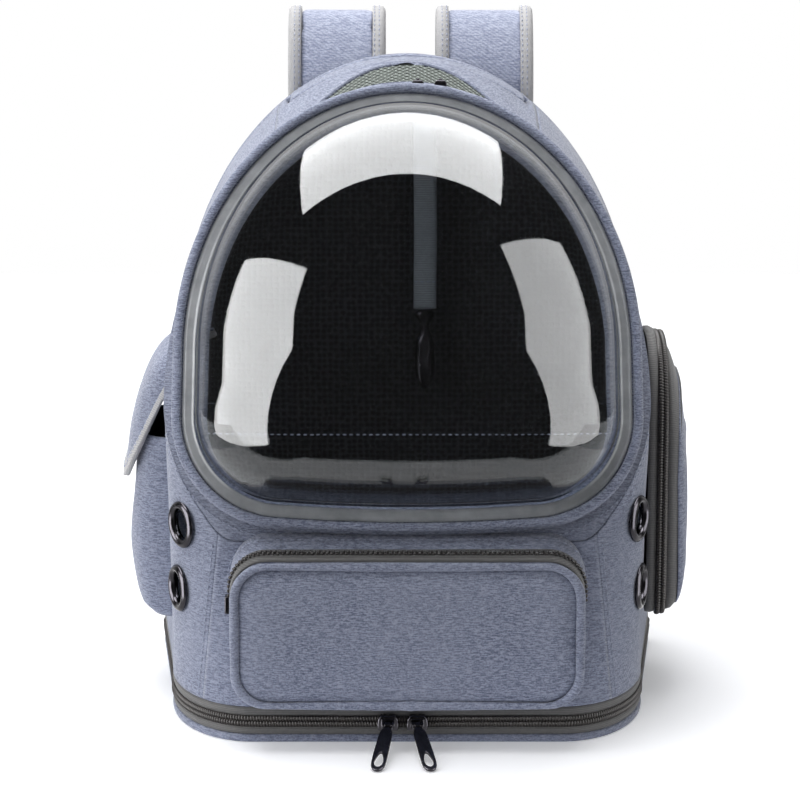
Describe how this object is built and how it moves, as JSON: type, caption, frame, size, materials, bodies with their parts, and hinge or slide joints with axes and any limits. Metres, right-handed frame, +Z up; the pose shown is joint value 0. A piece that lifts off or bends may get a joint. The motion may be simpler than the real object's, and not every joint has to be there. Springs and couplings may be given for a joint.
{
  "type": "pet carrier backpack",
  "caption": "Soft backpack for carrying a small pet, with a clear bulging dome in front, zipped pockets and padded shoulder straps.",
  "frame": {"origin": "middle of the underside, which rests on the floor", "axes": "+Z up, -Y out of the dome at the front, +X to the right of someone who faces the dome"},
  "size_m": [0.3794, 0.3685, 0.4471],
  "materials": {
    "cloth": "blue-grey melange woven cloth",
    "binding": "light grey bias binding",
    "zip_tape": "dark grey zip tape",
    "zip_coil": "black moulded coil",
    "air_mesh": "grey spacer mesh",
    "clear_dome": "smoky clear moulded plastic",
    "black_metal": "glossy black nickel",
    "webbing": "grey ribbed webbing",
    "buckle": "black moulded plastic"
  },
  "bodies": {
    "bag": {"base_panel": "cloth", "gusset_left": "cloth", "gusset_right": "cloth", "front_panel": "cloth", "top_roll": "cloth", "back_panel": "cloth", "front_frame": "cloth", "hinge_band": "cloth", "dome_flange": "cloth", "dome_piping": "cloth", "front_pocket": "cloth", "front_pocket_piping": "cloth", "left_pocket": "cloth", "left_flap": "cloth", "right_pocket_face": "cloth", "strap_left": "cloth", "strap_right": "cloth", "left_flap_binding": "binding", "right_pocket_inner_tape": "binding", "strap_left_binding_a": "binding", "strap_left_binding_b": "binding", "strap_right_binding_a": "binding", "strap_right_binding_b": "binding", "base_lower_tape": "zip_tape", "base_upper_tape": "zip_tape", "dome_zip_tape": "zip_tape", "front_pocket_zip_tape": "zip_tape", "right_pocket_outer_tape": "zip_tape", "base_zip_coil": "zip_coil", "dome_zip_coil": "zip_coil", "front_pocket_zip_coil": "zip_coil", "right_pocket_coil": "zip_coil", "top_mesh": "air_mesh", "dome": "clear_dome", "eyelet_left_upper": "black_metal", "eyelet_left_lower": "black_metal", "eyelet_right_upper": "black_metal", "eyelet_right_lower": "black_metal", "dome_slider_left": "black_metal", "dome_slider_right": "black_metal", "base_slider_left": "black_metal", "base_slider_right": "black_metal", "front_pocket_slider": "black_metal", "right_pocket_slider": "black_metal", "leash_clip": "black_metal", "leash": "webbing", "strap_webbing_left": "webbing", "strap_webbing_right": "webbing", "strap_tab_left": "webbing", "strap_tab_right": "webbing", "strap_lock_left": "buckle", "strap_lock_right": "buckle"},
    "pull_left": {"base_pull_left": "black_metal"},
    "pull_right": {"base_pull_right": "black_metal"}
  },
  "joints": [
    {"name": "pull_left_hinge", "type": "hinge", "parent": "bag", "child": "pull_left", "pos_m": [-0.0125, -0.1274, 0.01455], "axis": [-0.9903, 0.1392, 0], "range_deg": [0, 44]},
    {"name": "pull_right_hinge", "type": "hinge", "parent": "bag", "child": "pull_right", "pos_m": [0.0065, -0.1274, 0.01455], "axis": [-0.9848, -0.1736, 0], "range_deg": [0, 44]}
  ]
}
